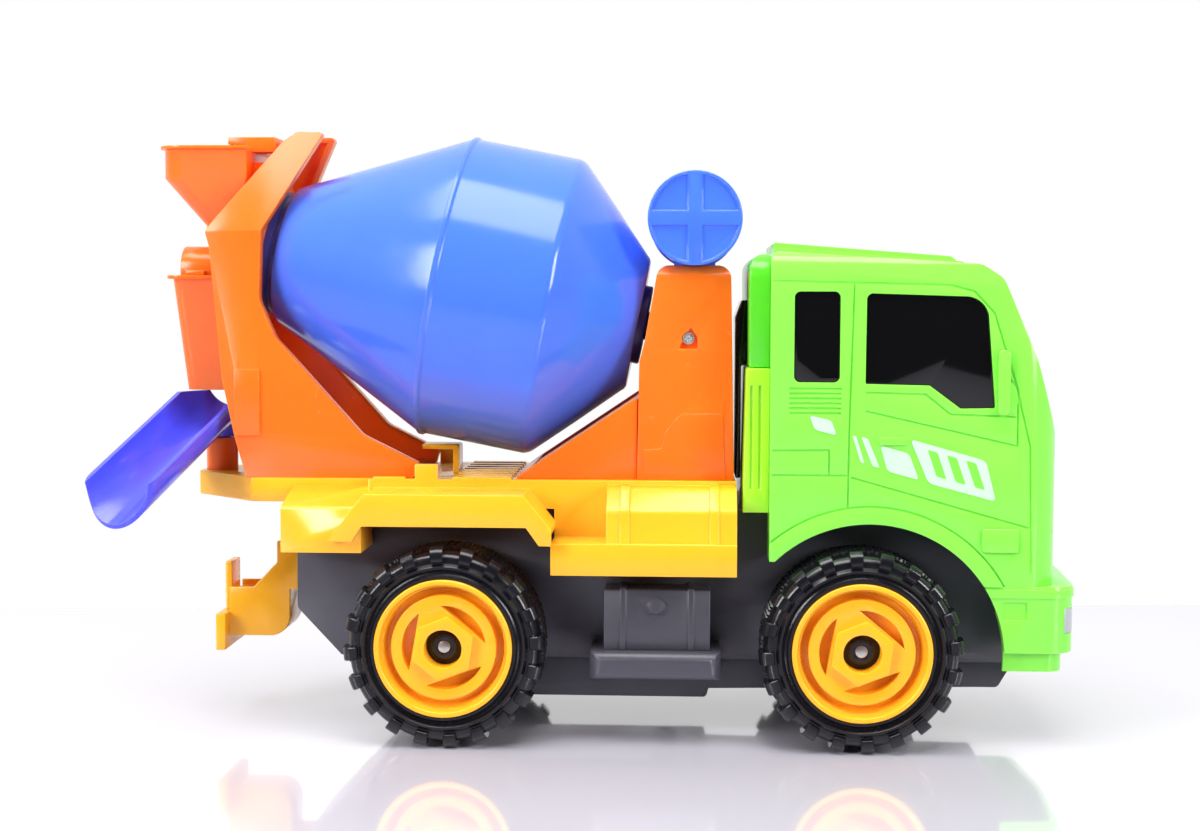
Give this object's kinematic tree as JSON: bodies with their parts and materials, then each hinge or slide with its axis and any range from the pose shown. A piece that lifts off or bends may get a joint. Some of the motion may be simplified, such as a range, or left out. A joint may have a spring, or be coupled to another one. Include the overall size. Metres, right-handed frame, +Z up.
{
  "type": "toy cement mixer truck",
  "caption": "Push-along toy mixer truck: wheeled chassis with a cab, a tilted turning drum, fill and discharge hoppers, a swivelling chute and a tow hook.",
  "frame": {"origin": "centre of the overall length and width (the chute, turned to the right, counts in both), at the height the wheels stand on", "axes": "+X towards the cab, +Y to the truck's left side, +Z up"},
  "size_m": [0.324, 0.1269, 0.2031],
  "materials": {
    "cab_green": "glossy moulded plastic",
    "frame_orange": "satin gloss moulded plastic",
    "deck_yellow": "satin gloss moulded plastic",
    "rim_yellow": "glossy moulded plastic",
    "drum_blue": "glossy moulded plastic",
    "chute_blue": "glossy moulded plastic",
    "collar_blue": "satin moulded plastic",
    "chassis_grey": "fine matt moulded plastic",
    "grille_grey": "matt moulded plastic",
    "tyre_black": "semi-gloss soft plastic",
    "hub_black": "satin moulded plastic",
    "window_black": "high gloss moulded plastic",
    "lamp_grey": "silver-grey moulded plastic",
    "steel": "bright steel"
  },
  "bodies": {
    "truck": {"air_intake": "window_black", "base_screws": "steel", "bumper": "cab_green", "cab_back": "cab_green", "cab_locker": "cab_green", "cab_shell": "cab_green", "chassis_base": "chassis_grey", "chassis_tub": "chassis_grey", "chute_post": "frame_orange", "deck": "deck_yellow", "drum_hood": "frame_orange", "front_badge": "lamp_grey", "grille": "grille_grey", "headlamp_left": "lamp_grey", "headlamp_right": "lamp_grey", "hopper_brackets": "frame_orange", "lower_hopper": "frame_orange", "mirror_left": "cab_green", "mirror_right": "cab_green", "rear_crosswall": "frame_orange", "rear_frame_left": "frame_orange", "rear_frame_right": "frame_orange", "side_glass_left": "window_black", "side_glass_right": "window_black", "side_step_left": "chassis_grey", "side_step_right": "chassis_grey", "side_tank_left": "chassis_grey", "side_tank_right": "chassis_grey", "signal_lamp_left": "cab_green", "signal_lamp_right": "cab_green", "tail_platform": "deck_yellow", "tank_cap_left": "drum_blue", "tank_cap_right": "drum_blue", "tow_hook": "deck_yellow", "tower_brace": "frame_orange", "tower_left": "frame_orange", "tower_right": "frame_orange", "tower_screw": "steel", "upper_hopper": "frame_orange", "water_tank": "drum_blue", "windscreen": "window_black"},
    "chute": {"chute": "chute_blue"},
    "drum": {"drum_collar": "collar_blue", "drum_front_shell": "drum_blue", "drum_hub": "collar_blue", "drum_rear_shell": "drum_blue"},
    "front_wheels": {"front_axle": "steel", "front_left_hub_cap": "hub_black", "front_left_rim": "rim_yellow", "front_left_tyre": "tyre_black", "front_right_hub_cap": "hub_black", "front_right_rim": "rim_yellow", "front_right_tyre": "tyre_black"},
    "rear_wheels": {"rear_axle": "steel", "rear_left_hub_cap": "hub_black", "rear_left_rim": "rim_yellow", "rear_left_tyre": "tyre_black", "rear_right_hub_cap": "hub_black", "rear_right_rim": "rim_yellow", "rear_right_tyre": "tyre_black"}
  },
  "joints": [
    {"name": "front_axle_spin", "type": "hinge", "parent": "truck", "child": "front_wheels", "pos_m": [0.08921, 0.00394, 0.033], "axis": [0, 1, 0], "continuous": true},
    {"name": "rear_axle_spin", "type": "hinge", "parent": "truck", "child": "rear_wheels", "pos_m": [-0.04579, 0.00394, 0.033], "axis": [0, 1, 0], "continuous": true},
    {"name": "drum_spin", "type": "hinge", "parent": "truck", "child": "drum", "pos_m": [-0.10809, 0.00394, 0.1615], "axis": [0.9816, 0, -0.1908], "continuous": true},
    {"name": "chute_swivel", "type": "hinge", "parent": "truck", "child": "chute", "pos_m": [-0.13229, 0.00394, 0.0969], "axis": [0, 0, 1], "range_deg": [-154, 6]}
  ]
}
